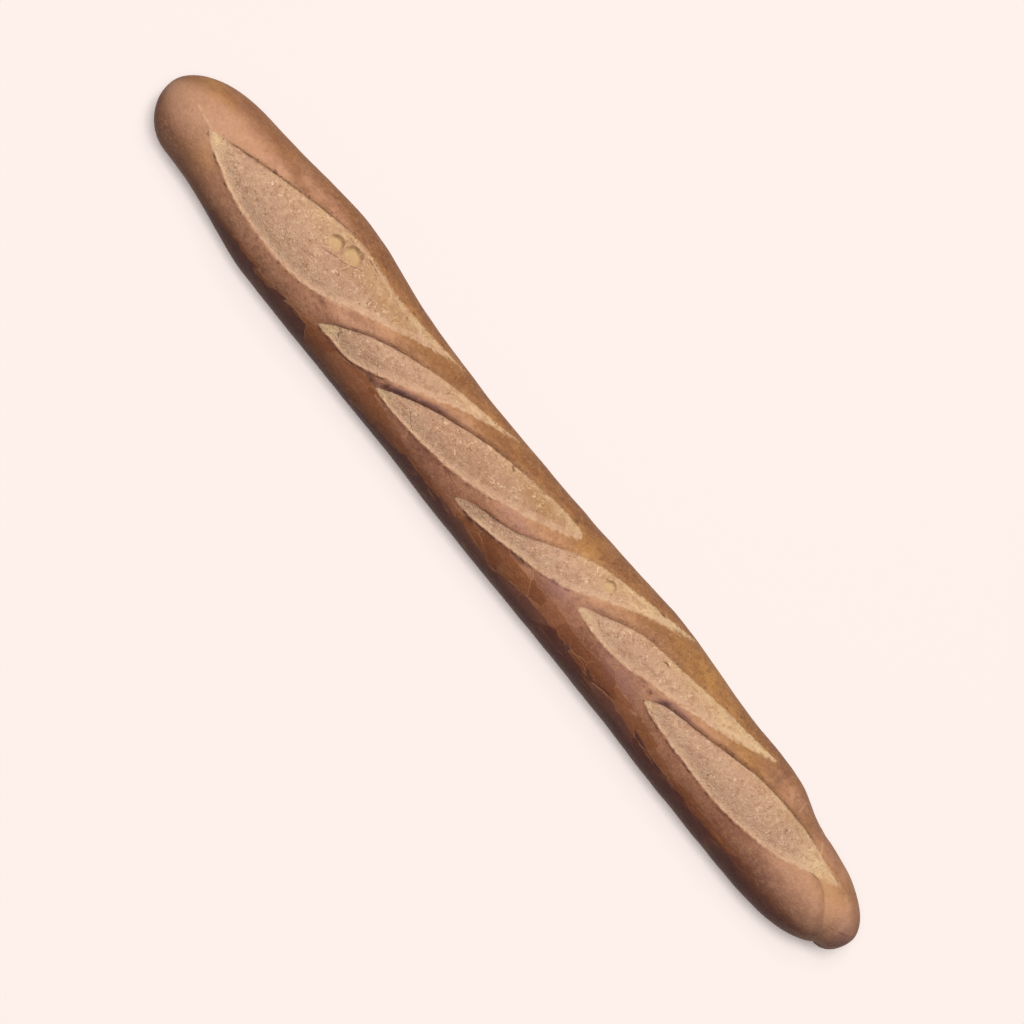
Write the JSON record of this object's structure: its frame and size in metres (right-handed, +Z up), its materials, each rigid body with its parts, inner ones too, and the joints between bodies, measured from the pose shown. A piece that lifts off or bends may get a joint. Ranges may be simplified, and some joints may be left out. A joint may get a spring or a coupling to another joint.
{
  "type": "baguette",
  "caption": "Long crusty white loaf with slanting scores opened along its crown, a flat underside, one blunt end and one pointed end.",
  "frame": {"origin": "below the middle of the loaf, on the surface that its underside rests on", "axes": "+X along the loaf towards its pointed end, +Y towards the side where the scores run out, +Z up"},
  "size_m": [0.57, 0.0683, 0.0483],
  "materials": {
    "crust": "dry baked crust, amber to dark brown, with pale floury scores"
  },
  "bodies": {
    "root": {"loaf": "crust"}
  },
  "joints": []
}
